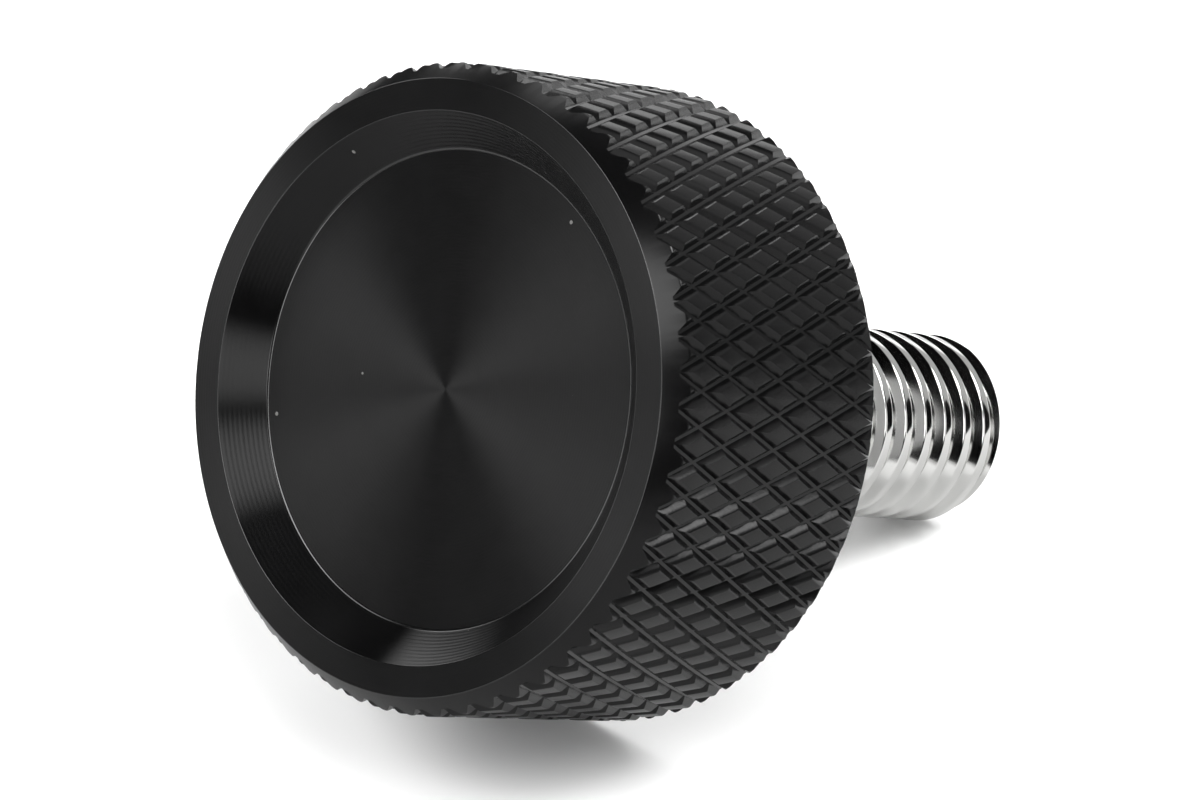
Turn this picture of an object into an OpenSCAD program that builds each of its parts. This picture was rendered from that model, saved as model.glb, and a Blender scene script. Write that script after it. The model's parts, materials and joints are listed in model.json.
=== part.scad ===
// Knurled thumb bolt: a turned and knurled head on a threaded stud.
// The head stands on its face at z = 0 and the stud points up along +Z.

/* [Head] */
// Diameter over the crests of the knurl
head_d = 19; // [17:0.5:24]
// Length of the head along its axis
head_len = 9.5; // [8.5:0.5:14]
// Length of the bevel between the face and the knurl
nose_bevel_len = 0.68; // [0.4:0.02:1]
// How far that bevel cuts inwards from the crests
nose_bevel_in = 0.53; // [0.4:0.01:0.8]
// Length of the bevel at the stud end
tail_bevel_len = 0.45; // [0.3:0.05:1]
// How far that bevel cuts inwards from the crests
tail_bevel_in = 0.35; // [0.25:0.05:0.6]

/* [Face] */
// Width of the flat rim that runs round the dish
rim_w = 0.92; // [0.5:0.02:1.5]
// Depth of the dish in the face
dish_depth = 1.05; // [0.6:0.05:1.3]
// Angle of the dish wall to the axis
dish_wall_angle = 45; // [30:1:60]
// Radius of the corner between the dish wall and its floor
dish_corner_r = 0.25; // [0.1:0.05:0.5]

/* [Knurl] */
// Number of grooves of each hand around the head
knurl_starts = 58; // [40:2:64]
// Angle of the grooves to the axis
knurl_angle = 23.8; // [20:0.1:30]
// Depth of the grooves below the crests
groove_depth = 0.2; // [0.12:0.02:0.24]
// Width of a groove at the crests, measured square across it
groove_w = 0.5; // [0.36:0.02:0.6]
// Height of the first full row of pads above the face
first_row_z = 1.38; // [0.8:0.02:2]

/* [Stud] */
// Outside diameter of the threaded length
stud_d = 5.9; // [5.4:0.1:7.9]
// Length of the stud that stands out of the head
stud_out = 15; // [10:1:40]
// Length of the bevel at the free end
tip_bevel_len = 0.45; // [0.3:0.05:1]
// How far that bevel cuts inwards
tip_bevel_in = 0.45; // [0.3:0.05:0.8]

/* [Press fit] */
// Depth of the seat turned in the head round the stud
seat_depth = 0.1; // [0.04:0.02:0.14]
// Gap all round between the stud and the wall of its seat
seat_gap = 0.15; // [0.1:0.05:0.4]
// Diameter of the plain spigot that is held in the head
spigot_d = 4.8; // [3.5:0.1:4.8]
// Length of the spigot
spigot_len = 6; // [4:0.5:6.5]
// Gap all round between the spigot and the wall of its blind bore
spigot_gap = 0.01; // [0.01:0.01:0.03]
// Space between the end of the spigot and the bottom of the bore
end_gap = 0.3; // [0.1:0.1:0.5]
// Width of the bevel on the spigot's end and on the mouth of the bore
lead_in = 0.2; // [0.1:0.05:0.2]

/* [Hidden] */
$fn = 96;
cut = 0.1;
head_r = head_d / 2;
stud_r = stud_d / 2;
rim_r = head_r - nose_bevel_in;
dish_r = rim_r - rim_w;
floor_r = dish_r - dish_depth * tan(dish_wall_angle);
spigot_r = spigot_d / 2;
bore_r = spigot_r + spigot_gap;
seat_r = stud_r + seat_gap;
seat_z = head_len - seat_depth;

// The pads form rows, each half an axial pitch above the last and half a pad round from it.
pad_step = 360 / knurl_starts;
row_step = PI * head_d / knurl_starts / tan(knurl_angle) / 2;
groove_pitch = PI * head_d / knurl_starts * cos(knurl_angle);
pad_share = 1 - groove_w / groove_pitch;
rows_below = ceil((first_row_z + cut) / row_step);
rows = rows_below + 1 + ceil((head_len + cut - first_row_z) / row_step);
bevel_run_out = 1.5;

function on_bar(r, a, z) = [r * cos(a), r * sin(a), z];
function row_z(j) = first_row_z + (j - rows_below) * row_step;
function odd(j) = (j + 2) % 2;

// Where two grooves cross, at the bottom of both. Row k runs from -1 to rows.
function crossing(k, i) =
    on_bar(head_r - groove_depth, (i + odd(k + 1) / 2) * pad_step, row_z(k));

// The corners of one pad's flat top: right, high, left and low.
function pad_corners(j, i) =
    let (a = (i + odd(j) / 2) * pad_step, da = pad_share * pad_step / 2,
         z = row_z(j), dz = pad_share * row_step)
    [on_bar(head_r, a + da, z), on_bar(head_r, a, z + dz),
     on_bar(head_r, a - da, z), on_bar(head_r, a, z - dz)];

function crossing_index(k, i) = (k + 1) * knurl_starts + (i + knurl_starts) % knurl_starts;
function pad_index(j, i, c) = (rows + 2 + 4 * j) * knurl_starts + 4 * i + c;

// The crossings round one pad, in the order of its corners.
function pad_crossings(j, i) =
    [crossing_index(j, i + odd(j)), crossing_index(j + 1, i),
     crossing_index(j, i + odd(j) - 1), crossing_index(j - 1, i)];

// A pad's top and the four groove flanks that fall away from it.
function pad_faces(j, i) =
    let (p = [for (c = [0:3]) pad_index(j, i, c)], x = pad_crossings(j, i))
    concat([[p[0], p[3], p[1]], [p[3], p[2], p[1]]],
           [for (c = [0:3]) let (n = (c + 1) % 4) each [[p[c], p[n], x[n]], [p[c], x[n], x[c]]]]);

// A bar with the whole knurl, a row longer than the head at each end.
module knurled_bar() {
    crossings = [for (k = [-1:rows], i = [0:knurl_starts - 1]) crossing(k, i)];
    corners = [for (j = [0:rows - 1], i = [0:knurl_starts - 1]) each pad_corners(j, i)];
    centres = [[0, 0, row_z(-1)], [0, 0, row_z(rows)]];
    low = len(crossings) + len(corners);
    pads = [for (j = [0:rows - 1], i = [0:knurl_starts - 1]) each pad_faces(j, i)];
    low_end = [for (i = [0:knurl_starts - 1]) let (x = pad_crossings(0, i))
        each [[x[3], low, x[2]], [x[0], low, x[3]]]];
    high_end = [for (i = [0:knurl_starts - 1]) let (x = pad_crossings(rows - 1, i))
        each [[x[2], low + 1, x[1]], [x[1], low + 1, x[0]]]];
    polyhedron(points = concat(crossings, corners, centres),
               faces = concat(pads, low_end, high_end), convexity = 4);
}

// Two flat ends and their bevels, which run on past the crests.
module turned_ends() {
    nose_in = nose_bevel_in * (bevel_run_out - 1);
    nose_z = nose_bevel_len * bevel_run_out;
    tail_in = tail_bevel_in * (bevel_run_out - 1);
    tail_z = head_len - tail_bevel_len * bevel_run_out;
    outer_r = head_r + max(nose_in, tail_in) + cut;
    rotate_extrude()
        polygon([[0, 0], [rim_r, 0], [head_r + nose_in, nose_z], [outer_r, nose_z],
                 [outer_r, tail_z], [head_r + tail_in, tail_z],
                 [head_r - tail_bevel_in, head_len], [0, head_len]]);
}

// The shallow dish in the face, with a rounded corner at its floor.
module dish() {
    turn = 90 - dish_wall_angle;
    steps = 5;
    tangent = dish_corner_r * tan(turn / 2);
    arc_centre = [floor_r - tangent, dish_depth - dish_corner_r];
    wall = [sin(dish_wall_angle), -cos(dish_wall_angle)];
    rotate_extrude()
        polygon(concat([[0, -cut], [dish_r, 0] + wall * cut],
                       [for (k = [steps:-1:0]) let (t = turn * k / steps)
                           arc_centre + dish_corner_r * [sin(t), cos(t)]],
                       [[0, dish_depth]]));
}

// The blind bore for the spigot, and the shallow seat for the stud's shoulder round its mouth.
module spigot_bore() {
    bore_z = seat_z - spigot_len - end_gap;
    translate([0, 0, bore_z])
        cylinder(r = bore_r, h = head_len + cut - bore_z);
    translate([0, 0, seat_z - lead_in])
        cylinder(r1 = bore_r, r2 = bore_r + lead_in, h = lead_in);
    translate([0, 0, seat_z])
        cylinder(r = seat_r, h = seat_depth + cut);
}

module head() {
    color([0.09, 0.09, 0.095])
        difference() {
            intersection() {
                knurled_bar();
                turned_ends();
            }
            dish();
            spigot_bore();
        }
}

// The stud's shoulder rests in the seat, with its spigot down the bore.
module stud() {
    straight = seat_depth + stud_out - tip_bevel_len;
    color([0.8, 0.81, 0.8])
        translate([0, 0, seat_z]) {
            cylinder(r = stud_r, h = straight);
            translate([0, 0, straight])
                cylinder(r1 = stud_r, r2 = stud_r - tip_bevel_in, h = tip_bevel_len);
            translate([0, 0, lead_in - spigot_len])
                cylinder(r = spigot_r, h = spigot_len - lead_in);
            translate([0, 0, -spigot_len])
                cylinder(r1 = spigot_r - lead_in, r2 = spigot_r, h = lead_in);
        }
}

head();
stud();
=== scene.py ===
import json
from math import acos, atan2, ceil, cos, pi, radians, sin, sqrt, tan

import bpy
import numpy as np
from mathutils import Matrix, Vector, noise


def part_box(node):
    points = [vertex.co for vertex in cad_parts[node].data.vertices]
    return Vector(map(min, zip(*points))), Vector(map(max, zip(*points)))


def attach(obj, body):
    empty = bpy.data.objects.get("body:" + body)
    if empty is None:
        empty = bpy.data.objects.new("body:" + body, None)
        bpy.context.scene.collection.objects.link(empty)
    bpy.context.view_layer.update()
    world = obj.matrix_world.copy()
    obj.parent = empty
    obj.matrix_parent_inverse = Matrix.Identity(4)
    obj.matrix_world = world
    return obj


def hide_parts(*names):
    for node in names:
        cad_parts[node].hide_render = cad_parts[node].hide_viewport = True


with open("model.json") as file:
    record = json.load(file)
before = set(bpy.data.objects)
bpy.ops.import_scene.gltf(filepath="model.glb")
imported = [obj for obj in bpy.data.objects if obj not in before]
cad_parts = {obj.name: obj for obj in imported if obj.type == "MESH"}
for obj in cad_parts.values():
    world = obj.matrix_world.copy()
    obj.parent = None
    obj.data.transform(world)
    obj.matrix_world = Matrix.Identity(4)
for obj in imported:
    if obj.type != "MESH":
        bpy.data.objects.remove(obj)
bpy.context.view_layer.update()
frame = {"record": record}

MM = 0.001

# ---------------------------------------------------------------- sizes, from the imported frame
HEAD_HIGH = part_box("head")[1]
STUD_LOW, STUD_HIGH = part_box("stud")
STUD_MOUNT = next(m for m in frame["record"]["mounts"] if m["name"] == "stud_thread")

HEAD_R = HEAD_HIGH.x
HEAD_LEN = HEAD_HIGH.z
SPIGOT_END = STUD_LOW.z
STUD_TIP = STUD_HIGH.z
THREAD_R = STUD_MOUNT["dims"]["r_mm"] * MM
THREAD_LEN = STUD_MOUNT["dims"]["length_mm"] * MM

# The head's turned outline.
NOSE_BEVEL_LEN = 0.68 * MM
NOSE_BEVEL_IN = 0.53 * MM
TAIL_BEVEL_LEN = 0.45 * MM
TAIL_BEVEL_IN = 0.35 * MM
RIM_W = 0.92 * MM
DISH_DEPTH = 1.05 * MM
DISH_CORNER_R = 0.12 * MM
EDGE_R = 0.035 * MM
RIM_R = HEAD_R - NOSE_BEVEL_IN
DISH_R = RIM_R - RIM_W
FLOOR_R = DISH_R - DISH_DEPTH

# The knurl: grooves of two hands that leave rows of pads.
KNURL_STARTS = 58
KNURL_ANGLE = radians(23.8)
GROOVE_DEPTH = 0.205 * MM
GROOVE_W = 0.42 * MM
GROOVE_FLOOR_W = 0.1 * MM
PAD_EDGE_R = 0.025 * MM
NOSE_ROUND_R = 0.25 * MM
FIRST_ROW_Z = 1.38 * MM
PAD_STEP = 2 * pi / KNURL_STARTS
GROOVE_PITCH = HEAD_R * PAD_STEP * cos(KNURL_ANGLE)
PAD_LIFT = 0.006 * MM
PAD_LEAN = 0.02 * MM
ROW_STEP = HEAD_R * PAD_STEP / tan(KNURL_ANGLE) / 2
BLANK_SEGMENTS = 8 * KNURL_STARTS

# The stud's thread and its spigot.
THREAD_PITCH = 1.0 * MM
CREST_W = 0.33 * MM
ROOT_DEPTH = 0.5 * MM
FLANK_ANGLE = radians(30)
CREST_ROUND_R = 0.08 * MM
ROOT_ROUND_R = 0.07 * MM
THREAD_START = radians(36)
TIP_BEVEL = 0.45 * MM
SEAT_Z = STUD_TIP - TIP_BEVEL - THREAD_LEN
SEAT_R = THREAD_R + 0.15 * MM
SPIGOT_R = 2.4 * MM
SPIGOT_LEAD = 0.2 * MM
BORE_R = SPIGOT_R + 0.01 * MM
BORE_END = SPIGOT_END - 0.3 * MM
THREAD_SEGMENTS = 180
SPIGOT_SEGMENTS = 96

# How far the trimming blanks stand over the knurl and the thread, and the bend that stays sharp.
KNURL_OVER = 0.01 * MM
THREAD_OVER = 0.2 * MM
CREASE = radians(24)

# The camera, as it stood to the bolt in the photograph. The lens, the stud's yaw and dip and the
# face's place are the output of a scratch fit to the photograph's ellipses. The bolt's turn is
# worked out from where the knurl's pads lie.
LENS = 207.8
SENSOR = 36.0
STUD_YAW = radians(39.93)
STUD_DIP = radians(2.91)
BOLT_TURN = radians(207.6)
FACE_OFFSET = Vector((-5.152, 0.36)) * MM
FACE_AWAY = 200.17 * MM
STAGE_R = 90 * MM
BENCH_R = 400 * MM
PAPER_STEPS = 96
PAPER_GAP = 0.01 * MM
# A pale ring behind the head that shows only in mirrored light: a painted pale reflection in the
# stud's turns.
REFLECTOR_IN_R = 3.2 * MM
REFLECTOR_R = 9 * MM
REFLECTOR_GAP = 0.05 * MM
REFLECTOR_TONE = 0.5
# A black card that shows only in mirrored light: a painted dark reflection in the stud's crests.
FLAG_FROM = Vector((29.5, 4.5)) * MM
FLAG_TO = Vector((37, 18)) * MM
FLAG_HEIGHT = 9.1 * MM
FLAG_TONE = 0.004

# Depths of fine marks in the surfaces.
TURNING_DEPTH = 0.0006 * MM
TURNING_FEED = 0.1
WALL_MARKS = 1.6
FACE_ROUGHNESS = 0.36
WALL_ROUGHNESS = 0.2
GRAIN_DEPTH = 0.002 * MM
DUST_SPACING = 3.1 * MM
DUST_R = 0.06 * MM
DUST_SHARE = 0.4
DUST_TONE = (0.14, 0.14, 0.135, 1)
DYE_SHADE = 0.0025
PLATING_TONE = (0.73, 0.73, 0.715, 1)

# The studio's soft round panels, seen from the stage: degrees round from straight behind the bolt
# and up from the table, radius in degrees, and strength. This table wasn't set up by hand: a scratch
# program fitted it to the photograph's tones and rounded it, and then 11 of the strengths were
# changed by 3 to 8%.
PANELS = {
    "behind_low": (15, 0, 15, 1.0),
    "behind": (355, 20, 15, 4.2),
    "behind_high": (0, 50, 15, 3.2),
    "all_behind": (40, 20, 55, 0.5),
    "right_top": (90, 50, 15, 16.0),
    "right_low": (115, 10, 20, 1.6),
    "above_camera": (160, 55, 20, 6.5),
    "front_top": (175, 25, 15, 5.2),
    "front_left": (240, 40, 20, 9.5),
    "left": (240, 10, 15, 6.5),
    "left_top": (270, 45, 15, 4.5),
    "left_low": (285, 0, 15, 4.0),
    "back_left": (320, 25, 15, 4.5),
}
TABLE_GLOW = 0.7
BENCH_GLOW = 0.25
STAGE_GREY = (0.62, 0.62, 0.62, 1)
WHITE = (1, 1, 1, 1)


# ---------------------------------------------------------------- meshes
def mesh_object(name, verts, faces):
    mesh = bpy.data.meshes.new(name)
    mesh.from_pydata([tuple(v) for v in verts], [], [tuple(f) for f in faces])
    mesh.validate()
    obj = bpy.data.objects.new(name, mesh)
    bpy.context.scene.collection.objects.link(obj)
    return obj


def turned(name, outline, segments, skins=None):
    """A closed solid of revolution. The outline runs from the axis to the axis as (r, z).

    skins holds the number of the material for stretches that don't have the first, by the outline
    point where each starts.
    """
    low, ring, high = outline[0], outline[1:-1], outline[-1]
    turn = [2 * pi * i / segments for i in range(segments)]
    verts = [(0, 0, low[1])]
    verts += [(r * cos(a), r * sin(a), z) for r, z in ring for a in turn]
    verts += [(0, 0, high[1])]
    last = len(verts) - 1
    top = last - segments
    faces = [(0, 1 + (i + 1) % segments, 1 + i) for i in range(segments)]
    faces += [(last, top + i, top + (i + 1) % segments) for i in range(segments)]
    for j in range(len(ring) - 1):
        a, b = 1 + j * segments, 1 + (j + 1) * segments
        faces += [(a + i, a + (i + 1) % segments, b + (i + 1) % segments, b + i)
                  for i in range(segments)]
    obj = mesh_object(name, verts, faces)
    for j, skin in (skins or {}).items():
        first = (j + 1) * segments
        for face in obj.data.polygons[first:first + segments]:
            face.material_index = skin
    return obj


def arc(centre, radius, start, end, steps):
    """Points (r, z) on an arc, with angles from the r axis towards z."""
    return [(centre[0] + radius * cos(t), centre[1] + radius * sin(t))
            for t in np.linspace(start, end, steps + 1)]


def rounded(before, corner, after, radius, steps=6):
    """The corner of an outline, rounded."""
    p, c, q = Vector(before), Vector(corner), Vector(after)
    u, v = (p - c).normalized(), (q - c).normalized()
    half = u.angle(v) / 2
    middle = c + (u + v).normalized() * (radius / sin(half))
    reach = radius / tan(half)
    a, b = c + u * reach - middle, c + v * reach - middle
    start = atan2(a.y, a.x)
    sweep = (atan2(b.y, b.x) - start + pi) % (2 * pi) - pi
    return arc(middle, radius, start, start + sweep, steps)


def rounded_outline(corners):
    """The points of an outline given as ((r, z), radius), and where its rounded edges lie."""
    points = [point for point, radius in corners]
    out, edges = [points[0]], []
    for i in range(1, len(points) - 1):
        radius = corners[i][1]
        if radius:
            bend = rounded(points[i - 1], points[i], points[i + 1], radius)
            edges += range(len(out), len(out) + len(bend) - 1)
            out += bend
        else:
            out.append(points[i])
    return out + [points[-1]], edges


def combine(obj, tool, operation):
    """Boolean of two closed meshes, applied to the first; the second is removed."""
    step = obj.modifiers.new("cut", "BOOLEAN")
    step.operation = operation
    step.solver = "MANIFOLD"
    step.material_mode = "TRANSFER"
    step.object = tool
    shaped = bpy.data.meshes.new_from_object(
        obj.evaluated_get(bpy.context.evaluated_depsgraph_get()))
    obj.modifiers.clear()
    old = obj.data
    obj.data = shaped
    shaped.name = obj.name
    bpy.data.meshes.remove(old)
    bpy.data.objects.remove(tool)


def smooth(obj):
    obj.data.shade_smooth()
    obj.data.set_sharp_from_angle(angle=CREASE)


# ---------------------------------------------------------------- the head
def groove_depth(x):
    """Depth of a groove at a distance x from its middle, with rounded edges at the crests."""
    slope = GROOVE_DEPTH / (GROOVE_W / 2 - GROOVE_FLOOR_W / 2)
    flank = (GROOVE_W / 2 - x) * slope
    eased = (flank + sqrt(flank * flank + PAD_EDGE_R * PAD_EDGE_R)) / 2
    return min(eased, GROOVE_DEPTH)


def cell_steps():
    """Places across one pad cell, in groove pitches from the pad's middle."""
    half = GROOVE_PITCH / 2
    edge = GROOVE_W / 2
    floor = GROOVE_FLOOR_W / 2
    marks = [0, floor, (floor + edge) / 2, edge - PAD_EDGE_R, edge + 0.5 * PAD_EDGE_R,
             edge + 2.5 * PAD_EDGE_R]
    lower = [(m - half) / GROOVE_PITCH for m in marks]
    return lower + [0] + [-m for m in reversed(lower)]


def pad_height(cell, s, t):
    """Small differences between pads: each stands and leans a little its own way."""
    seed = Vector((cell[0] * 7.31, cell[1] * 3.17, 0.5))
    lift = noise.noise(seed)
    lean_s = noise.noise(seed + Vector((0, 0, 9.1)))
    lean_t = noise.noise(seed + Vector((0, 0, 17.7)))
    return PAD_LIFT * lift + PAD_LEAN * (s * lean_s + t * lean_t)


def knurled_bar():
    """A bar with the whole knurl, longer than the head at both ends, as a closed mesh.

    Each groove family is one coordinate, s or t; pads stand where both are whole numbers.
    """
    steps = cell_steps()
    n = len(steps) - 1
    depth = [groove_depth(GROOVE_PITCH * (0.5 - abs(x))) for x in steps]
    first = -ceil(FIRST_ROW_Z / ROW_STEP) - 1
    last = ceil((HEAD_LEN - FIRST_ROW_Z) / ROW_STEP) + 1
    around = 2 * KNURL_STARTS * n
    index, verts, faces = {}, [], []

    def vertex(cs, ct, i, j):
        key = (cs * n + i - ct * n - j, (cs * n + i + ct * n + j) % around)
        if key not in index:
            s, t = cs + steps[i], ct + steps[j]
            angle, z = (s + t) / 2 * PAD_STEP, FIRST_ROW_Z + (t - s) * ROW_STEP
            inner = 0 < i < n and 0 < j < n
            drop = max(depth[i], depth[j])
            share = 1 - drop / GROOVE_DEPTH
            own = pad_height((cs % KNURL_STARTS, ct - cs), steps[i], steps[j]) if inner else 0
            r = HEAD_R - drop + share * own
            index[key] = len(verts)
            verts.append((r * cos(angle), r * sin(angle), z))
        return index[key]

    for row in range(first, last + 1):
        for k in range(KNURL_STARTS):
            cs, ct = k - row // 2, k - row // 2 + row
            for i in range(n):
                for j in range(n):
                    a, b = vertex(cs, ct, i, j), vertex(cs, ct, i + 1, j)
                    c, d = vertex(cs, ct, i + 1, j + 1), vertex(cs, ct, i, j + 1)
                    if (i < n / 2) == (j < n / 2):
                        faces += [(a, b, c), (a, c, d)]
                    else:
                        faces += [(a, b, d), (b, c, d)]
    close_ends(verts, faces)
    return mesh_object("knurled_bar", verts, faces)


def close_ends(verts, faces):
    """Joins each open end of a tube of triangles to a point on the axis."""
    edges = {}
    for f in faces:
        for a, b in zip(f, f[1:] + f[:1]):
            edges[(a, b)] = True
    rim = [(a, b) for a, b in edges if (b, a) not in edges]
    middle = sum(v[2] for v in verts) / len(verts)
    for low in (True, False):
        part = [(a, b) for a, b in rim if (verts[a][2] < middle) == low]
        z = sum(verts[a][2] for a, b in part) / len(part)
        hub = len(verts)
        verts.append((0, 0, z))
        faces += [(b, a, hub) for a, b in part]


def head_outline():
    """The turned form of the head, from the middle of the dish round to the bore."""
    over = HEAD_R + KNURL_OVER
    corners = [
        ((0, DISH_DEPTH), 0),
        ((FLOOR_R, DISH_DEPTH), DISH_CORNER_R),
        ((DISH_R, 0), EDGE_R),
        ((RIM_R, 0), EDGE_R),
        ((over, NOSE_BEVEL_LEN), NOSE_ROUND_R),
        ((over, HEAD_LEN - TAIL_BEVEL_LEN), NOSE_ROUND_R),
        ((HEAD_R - TAIL_BEVEL_IN, HEAD_LEN), EDGE_R),
        ((SEAT_R, HEAD_LEN), EDGE_R),
        ((SEAT_R, SEAT_Z), 0),
        ((BORE_R + SPIGOT_LEAD, SEAT_Z), 0),
        ((BORE_R, SEAT_Z - SPIGOT_LEAD), 0),
        ((BORE_R, BORE_END), 0),
        ((0, BORE_END), 0),
    ]
    points, edges = rounded_outline(corners)
    skins = {j: 1 for j in edges}
    skins.update({j: 2 for j, (r, z) in enumerate(points)
                  if r > RIM_R and EDGE_R / 3 < z < HEAD_LEN / 2})
    return points, skins


def make_head():
    head = knurled_bar()
    head.data.materials.append(knurled_anodising())
    outline, skins = head_outline()
    blank = turned("blank", outline, BLANK_SEGMENTS, skins)
    for skin in (turned_anodising(), edge_anodising(), bevel_anodising()):
        blank.data.materials.append(skin)
    combine(head, blank, "INTERSECT")
    head.name = "head_turned"
    smooth(head)
    return head


# ---------------------------------------------------------------- the stud
def thread_profile():
    """One pitch of the thread as (z share of the pitch, r), from one root to the next."""
    crest = CREST_W / 2
    flank_w = ROOT_DEPTH * tan(FLANK_ANGLE)
    root = THREAD_R - ROOT_DEPTH
    mid = THREAD_PITCH / 2
    corners = [((0, root), 0),
               ((mid - crest - flank_w, root), ROOT_ROUND_R),
               ((mid - crest, THREAD_R), CREST_ROUND_R),
               ((mid + crest, THREAD_R), CREST_ROUND_R),
               ((mid + crest + flank_w, root), ROOT_ROUND_R),
               ((THREAD_PITCH, root), 0)]
    return rounded_outline(corners)[0][:-1]


def threaded_bar():
    """A right-hand threaded bar, longer than the stud at both ends, as a closed mesh."""
    profile = thread_profile()
    n = len(profile)
    segments = THREAD_SEGMENTS
    low, high = SEAT_Z - 2 * THREAD_PITCH, STUD_TIP + 2 * THREAD_PITCH
    turns = ceil((high - low) / THREAD_PITCH)
    rows = turns * n
    verts = []
    for j in range(rows + n + 1):
        z, r = profile[j % n]
        z += low + (j // n) * THREAD_PITCH
        for i in range(segments):
            a = 2 * pi * i / segments + THREAD_START
            verts.append((r * cos(a), r * sin(a), z + THREAD_PITCH * i / segments))
    faces = []
    for j in range(rows):
        for i in range(segments):
            a, b = j * segments + i, (j + 1) * segments + i
            if i < segments - 1:
                c, d = b + 1, a + 1
            else:
                c, d = (j + 1 + n) * segments, (j + n) * segments
            faces += [(a, d, c), (a, c, b)]
    used = sorted({v for f in faces for v in f})
    place = {v: k for k, v in enumerate(used)}
    verts = [verts[v] for v in used]
    faces = [tuple(place[v] for v in f) for f in faces]
    close_ends(verts, faces)
    return mesh_object("threaded_bar", verts, faces)


def stud_outline():
    over = THREAD_R + THREAD_OVER
    return [(0, SEAT_Z), (over, SEAT_Z), (over, STUD_TIP - TIP_BEVEL - THREAD_OVER),
            (THREAD_R - TIP_BEVEL, STUD_TIP), (0, STUD_TIP)]


def spigot_outline():
    return [(0, SPIGOT_END), (SPIGOT_R - SPIGOT_LEAD, SPIGOT_END),
            (SPIGOT_R, SPIGOT_END + SPIGOT_LEAD), (SPIGOT_R, SEAT_Z + SPIGOT_LEAD),
            (0, SEAT_Z + SPIGOT_LEAD)]


def make_stud():
    stud = threaded_bar()
    stud.data.materials.append(bright_plating())
    combine(stud, turned("blank", stud_outline(), THREAD_SEGMENTS), "INTERSECT")
    combine(stud, turned("spigot", spigot_outline(), SPIGOT_SEGMENTS), "UNION")
    stud.name = "stud_threaded"
    smooth(stud)
    return stud


# ---------------------------------------------------------------- materials
def node_adder(tree):
    """A shorthand that adds a node, with its links, values and settings."""
    def add(kind, links=(), **settings):
        node = tree.nodes.new("ShaderNode" + kind)
        for key, value in settings.items():
            setattr(node, key, value)
        for socket, value in dict(links).items():
            target = node.inputs[socket]
            if isinstance(value, bpy.types.NodeSocket):
                tree.links.new(value, target)
            else:
                target.default_value = value
        return node

    return add


def new_material(name):
    """A material with the Principled shader, and a shorthand for adding nodes to it."""
    mat = bpy.data.materials.new(name)
    mat.use_nodes = True
    tree = mat.node_tree
    return mat, tree.nodes["Principled BSDF"], node_adder(tree), tree.links.new


def radius_from_axis(add):
    """The outward direction and the distance from the bolt's axis, in millimetres."""
    place = add("TexCoord").outputs["Object"]
    flat = add("VectorMath", {0: place, 1: (1 / MM, 1 / MM, 0)}, operation="MULTIPLY")
    outward = add("VectorMath", {0: flat.outputs["Vector"]}, operation="NORMALIZE")
    length = add("VectorMath", {0: flat.outputs["Vector"]}, operation="LENGTH")
    return outward.outputs["Vector"], length.outputs["Value"]


def turning_marks(add, radius):
    """Rings that the lathe left round the axis, one to each step of its feed, and uneven."""
    feed = times(add, radius, 2 * pi / TURNING_FEED)
    rings = add("Math", {0: feed}, operation="SINE").outputs[0]
    uneven = add("TexNoise", {"W": times(add, radius, 4), "Scale": 1, "Detail": 4, "Roughness": 0.7},
                 noise_dimensions="1D")
    return add("Math", {0: uneven.outputs["Fac"], 1: 2.5, 2: rings},
               operation="MULTIPLY_ADD").outputs[0]


def times(add, value, factor, offset=0.0):
    return add("Math", {0: value, 1: factor, 2: offset}, operation="MULTIPLY_ADD").outputs[0]


def black_dye(add):
    """Colour of the dyed oxide, faintly cloudy."""
    cloud = add("TexNoise", {"Vector": add("TexCoord").outputs["Object"], "Scale": 900, "Detail": 3})
    ramp = add("ValToRGB", {0: cloud.outputs["Fac"]})
    low, high = ramp.color_ramp.elements
    low.position, high.position = 0.3, 0.7
    low.color = (DYE_SHADE * 0.8, DYE_SHADE * 0.8, DYE_SHADE * 0.83, 1)
    high.color = (DYE_SHADE * 1.25, DYE_SHADE * 1.25, DYE_SHADE * 1.29, 1)
    return ramp.outputs["Color"]


def anodised(name, shine, roughness):
    """A material of black anodising, with how much its surface mirrors and how roughly."""
    mat, skin, add, link = new_material(name)
    link(black_dye(add), skin.inputs["Base Color"])
    skin.inputs["Specular IOR Level"].default_value = shine
    skin.inputs["Roughness"].default_value = roughness
    return mat, skin, add, link


def dust(add):
    """A few tiny specks of dust of unlike sizes, placed as seen along the axis."""
    cells = add("TexVoronoi", {"Vector": add("TexCoord").outputs["Object"],
                               "Scale": 1 / DUST_SPACING}, voronoi_dimensions="2D")
    pick = add("SeparateColor", {"Color": cells.outputs["Color"]}).outputs["Red"]
    reach = add("MapRange", {"Value": pick, "From Min": 1 - DUST_SHARE, "From Max": 1,
                             "To Max": DUST_R / DUST_SPACING}).outputs["Result"]
    return add("Math", {0: cells.outputs["Distance"], 1: reach}, operation="LESS_THAN").outputs[0]


def dish_wall(add, radius):
    """1 on the sloping wall round the dish, and 0 elsewhere."""
    ring = add("Math", {0: radius, 1: (FLOOR_R + DISH_R) / 2 / MM, 2: (DISH_R - FLOOR_R) / 2 / MM},
               operation="COMPARE").outputs[0]
    height = add("SeparateXYZ", {0: add("TexCoord").outputs["Object"]}).outputs["Z"]
    front = add("Math", {0: height, 1: HEAD_LEN / 2}, operation="LESS_THAN").outputs[0]
    return add("Math", {0: ring, 1: front}, operation="MULTIPLY").outputs[0]


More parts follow.
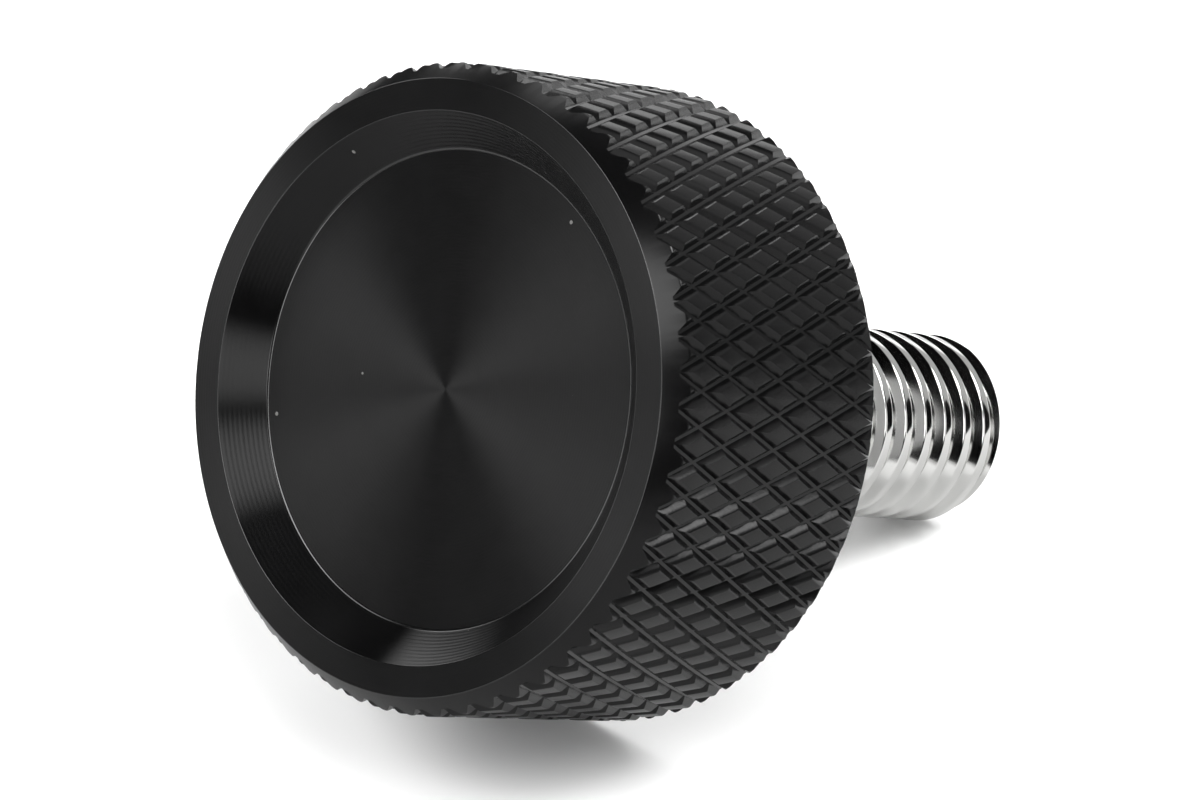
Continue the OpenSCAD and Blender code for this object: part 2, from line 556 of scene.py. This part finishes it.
def turned_anodising():
    """Black anodising over turning marks that run round the axis."""
    mat, skin, add, link = anodised("turned_anodising", 0.17, FACE_ROUGHNESS)
    outward, radius = radius_from_axis(add)
    wall = dish_wall(add, radius)
    depth = times(add, wall, WALL_MARKS - 1, 1)
    height = add("Math", {0: turning_marks(add, radius), 1: depth}, operation="MULTIPLY").outputs[0]
    bump = add("Bump", {"Height": height, "Strength": 1, "Distance": TURNING_DEPTH})
    link(bump.outputs["Normal"], skin.inputs["Normal"])
    link(outward, skin.inputs["Tangent"])
    dye = skin.inputs["Base Color"].links[0].from_socket
    colour = add("Mix", {"Factor": dust(add), "A": dye, "B": DUST_TONE}, data_type="RGBA")
    link(colour.outputs["Result"], skin.inputs["Base Color"])
    link(times(add, wall, WALL_ROUGHNESS - FACE_ROUGHNESS, FACE_ROUGHNESS), skin.inputs["Roughness"])
    skin.inputs["Anisotropic"].default_value = 0.95
    return mat


def edge_anodising():
    """Black anodising on the corners, which are smoother and catch more light."""
    return anodised("edge_anodising", 0.5, 0.16)[0]


def bevel_anodising():
    """Black anodising on the nose bevel, cut with a fine feed."""
    return anodised("bevel_anodising", 0.2, 0.2)[0]


def knurled_anodising():
    """Black anodising on the rolled pads."""
    mat, skin, add, link = anodised("knurled_anodising", 0.22, 0.22)
    place = add("TexCoord").outputs["Object"]
    grain = add("TexNoise", {"Vector": place, "Scale": 9000, "Detail": 3, "Roughness": 0.6})
    bump = add("Bump", {"Height": grain.outputs["Fac"], "Strength": 1, "Distance": GRAIN_DEPTH})
    link(bump.outputs["Normal"], skin.inputs["Normal"])
    return mat


def bright_plating():
    mat, skin = new_material("bright_plating")[:2]
    skin.inputs["Base Color"].default_value = PLATING_TONE
    skin.inputs["Metallic"].default_value = 1
    skin.inputs["Roughness"].default_value = 0.09
    return mat


def front_only(mat, add, surface):
    """Gives a material a surface that shows on the front of its faces only."""
    clear = add("BsdfTransparent")
    back = add("NewGeometry").outputs["Backfacing"]
    mix = add("MixShader", {0: back, 1: surface, 2: clear.outputs[0]})
    out = mat.node_tree.nodes["Material Output"]
    mat.node_tree.links.new(mix.outputs[0], out.inputs["Surface"])


def stage_white():
    """Paper that is white to the camera, and greyer in mirrored and bounced light."""
    mat, _, add, _ = new_material("stage_white")
    seen = add("LightPath").outputs["Is Camera Ray"]
    white = add("Mix", {"Factor": seen, "A": STAGE_GREY, "B": WHITE}, data_type="RGBA")
    paper = add("BsdfDiffuse", {"Color": white.outputs["Result"]})
    front_only(mat, add, paper.outputs[0])
    return mat


def bench_white():
    """White bench top. It glows a little far off and past the stage, to look the same all over."""
    mat, _, add, _ = new_material("bench_white")
    up = stage_normal()
    place = add("TexCoord").outputs["Object"]
    away = add("VectorMath", {0: place}, operation="LENGTH").outputs["Value"]
    far = add("MapRange", {"Value": away, "From Min": HEAD_R, "From Max": STAGE_R},
              interpolation_type="SMOOTHERSTEP").outputs["Result"]
    height = add("VectorMath", {0: place, 1: up}, operation="DOT_PRODUCT").outputs["Value"]
    past = add("Math", {0: height, 1: up.dot(stage_point(up))}, operation="LESS_THAN").outputs[0]
    seen = add("LightPath").outputs["Is Camera Ray"]
    dim = add("Math", {0: past, 1: far}, operation="MAXIMUM").outputs[0]
    share = add("Math", {0: dim, 1: seen}, operation="MULTIPLY").outputs[0]
    paper = add("BsdfDiffuse", {"Color": WHITE})
    glow = add("Emission", {"Strength": times(add, share, BENCH_GLOW)})
    both = add("AddShader", {0: paper.outputs[0], 1: glow.outputs[0]})
    front_only(mat, add, both.outputs[0])
    return mat


# ---------------------------------------------------------------- camera, stage and light
def camera_axes():
    """The camera's right, down and forward directions in the bolt's frame."""
    along = Vector((sin(STUD_YAW) * cos(STUD_DIP), sin(STUD_DIP), cos(STUD_YAW) * cos(STUD_DIP)))
    side = along.cross(Vector((0, -1, 0))).normalized()
    under = along.cross(side)
    side_row = Vector((cos(BOLT_TURN), sin(BOLT_TURN), 0))
    under_row = Vector((-sin(BOLT_TURN), cos(BOLT_TURN), 0))
    up_row = Vector((0, 0, 1))
    return [side_row * side[k] + under_row * under[k] + up_row * along[k] for k in range(3)]


def make_camera():
    right, down, forward = camera_axes()
    place = -(right * FACE_OFFSET.x - down * FACE_OFFSET.y + forward * FACE_AWAY)
    data = bpy.data.cameras.new("camera")
    data.lens = LENS
    data.sensor_width = SENSOR
    data.clip_start, data.clip_end = 1 * MM, 100
    cam = bpy.data.objects.new("camera", data)
    bpy.context.scene.collection.objects.link(cam)
    turn = Matrix((right, -down, -forward)).transposed().to_4x4()
    cam.matrix_world = Matrix.Translation(place) @ turn
    bpy.context.scene.camera = cam
    return cam


def stage_normal():
    """The bolt lies on the knurl's last pads and on its tip, and the camera is held level."""
    knurl_end = HEAD_LEN - TAIL_BEVEL_LEN
    tilt = atan2(HEAD_R - THREAD_R, STUD_TIP - TIP_BEVEL - knurl_end)
    right = camera_axes()[0]
    swing = acos(tan(tilt) * right.z / right.xy.length)
    turn = atan2(right.y, right.x) - swing
    return Vector((cos(tilt) * cos(turn), cos(tilt) * sin(turn), -sin(tilt)))


def stage_point(place):
    """The point of the stage under a place."""
    normal = stage_normal()
    down = -normal.xy.normalized()
    contact = Vector((down.x * HEAD_R, down.y * HEAD_R, HEAD_LEN - TAIL_BEVEL_LEN))
    height = normal.dot(contact) - PAPER_GAP
    return place - normal * (normal.dot(place) - height)


def make_stage():
    """A round sheet of white paper under the lying bolt."""
    normal = stage_normal()
    foot = stage_point(Vector((0, 0, (HEAD_LEN + STUD_TIP) / 2)))
    across = normal.cross(Vector((0, 0, 1))).normalized()
    along = normal.cross(across)
    ring = [foot + STAGE_R * (across * cos(a) + along * sin(a))
            for a in (2 * pi * i / PAPER_STEPS for i in range(PAPER_STEPS))]
    stage = mesh_object("stage", ring, [range(PAPER_STEPS)])
    if stage.data.polygons[0].normal.dot(normal) < 0:
        stage.data.flip_normals()
    stage.data.materials.append(stage_white())
    return stage


def make_bench():
    """A round bench top under the standing bolt. It shows from above only, and lights nothing."""
    ring = [(BENCH_R * cos(a), BENCH_R * sin(a), -PAPER_GAP)
            for a in (2 * pi * i / PAPER_STEPS for i in range(PAPER_STEPS))]
    bench = mesh_object("bench", ring, [range(PAPER_STEPS)])
    bench.data.materials.append(bench_white())
    bench.visible_diffuse = False
    bench.visible_glossy = False
    bench.visible_transmission = False
    bench.visible_shadow = False


def card_tone(name, tone):
    """Studio card that shows on both sides, faintly uneven."""
    mat, skin, add, link = new_material(name)
    cloud = add("TexNoise", {"Vector": add("TexCoord").outputs["Object"], "Scale": 300, "Detail": 2})
    ramp = add("ValToRGB", {0: cloud.outputs["Fac"]})
    low, high = ramp.color_ramp.elements
    low.color = (tone * 0.97, tone * 0.97, tone * 0.97, 1)
    high.color = (tone * 1.03, tone * 1.03, tone * 1.03, 1)
    link(ramp.outputs["Color"], skin.inputs["Base Color"])
    skin.inputs["Roughness"].default_value = 0.8
    skin.inputs["Specular IOR Level"].default_value = 0
    return mat


def studio_card(name, verts, faces, tone):
    """A card that only shows in mirrored light; the camera doesn't see it."""
    card = mesh_object(name, verts, faces)
    card.data.materials.append(card_tone(name, tone))
    card.visible_camera = False
    card.visible_diffuse = False
    card.visible_transmission = False
    card.visible_shadow = False
    return card


def make_reflector():
    """A pale ring close behind the head, which the stud's turns mirror. It shows only in mirrored
    light, as a painted pale reflection over the head's black back face.
    """
    steps = 64
    turn = [2 * pi * i / steps for i in range(steps)]
    height = HEAD_LEN + REFLECTOR_GAP
    ring = [(r * cos(a), r * sin(a), height) for r in (REFLECTOR_IN_R, REFLECTOR_R) for a in turn]
    faces = [(i, steps + i, steps + (i + 1) % steps, (i + 1) % steps) for i in range(steps)]
    return studio_card("reflector", ring, faces, REFLECTOR_TONE)


def make_flag():
    """A black card on the table to the right of the stud. It shows only in mirrored light, as a
    painted dark reflection in the stud's crests.
    """
    up = stage_normal()
    aside = camera_axes()[0]
    away = up.cross(aside)
    base = stage_point(Vector((0, 0, HEAD_LEN)))
    feet = [base + aside * p.x + away * p.y for p in (FLAG_FROM, FLAG_TO)]
    verts = feet + [p + up * FLAG_HEIGHT for p in reversed(feet)]
    return studio_card("flag", verts, [(0, 1, 2, 3)], FLAG_TONE)


def panel_glow(add, look, axes, name):
    """A panel's light in the direction looked in: full in its middle, falling softly to 0."""
    aside, away, up = axes
    turn, rise, reach, strength = PANELS[name]
    level = aside * sin(radians(turn)) + away * cos(radians(turn))
    aim = level * cos(radians(rise)) + up * sin(radians(rise))
    near = add("VectorMath", {0: look, 1: aim}, operation="DOT_PRODUCT")
    glow = add("MapRange", {"Value": near.outputs["Value"], "From Min": cos(radians(reach)),
                            "From Max": cos(radians(0.4 * reach)), "To Max": strength},
               interpolation_type="SMOOTHSTEP")
    glow.label = name
    return glow.outputs["Result"]


def make_world():
    """Soft panels over a glowing table, round the lying bolt; plain white to the camera."""
    world = bpy.data.worlds.new("studio")
    world.use_nodes = True
    bpy.context.scene.world = world
    tree = world.node_tree
    add = node_adder(tree)
    up = stage_normal()
    aside = camera_axes()[0]
    axes = aside, up.cross(aside), up
    look = add("TexCoord").outputs["Generated"]
    total = 0.0
    for name in PANELS:
        glow = panel_glow(add, look, axes, name)
        total = add("Math", {0: total, 1: glow}, operation="ADD").outputs[0]
    height = add("VectorMath", {0: look, 1: up}, operation="DOT_PRODUCT").outputs["Value"]
    above = add("Math", {0: height, 1: 0}, operation="GREATER_THAN").outputs[0]
    light = add("Mix", {"Factor": above, "A": TABLE_GLOW, "B": total}, data_type="FLOAT")
    seen = add("LightPath").outputs["Is Camera Ray"]
    strength = add("Mix", {"Factor": seen, "A": light.outputs["Result"], "B": 1.0},
                   data_type="FLOAT")
    back = tree.nodes["Background"]
    back.inputs["Color"].default_value = WHITE
    tree.links.new(strength.outputs["Result"], back.inputs["Strength"])


# ---------------------------------------------------------------- the scene
make_camera()
make_world()
make_stage()
make_reflector()
make_flag()
make_bench()

head = make_head()
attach(head, "root")
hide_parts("head")

stud = make_stud()
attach(stud, "root")
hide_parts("stud")

bpy.context.scene.view_settings.view_transform = "Standard"
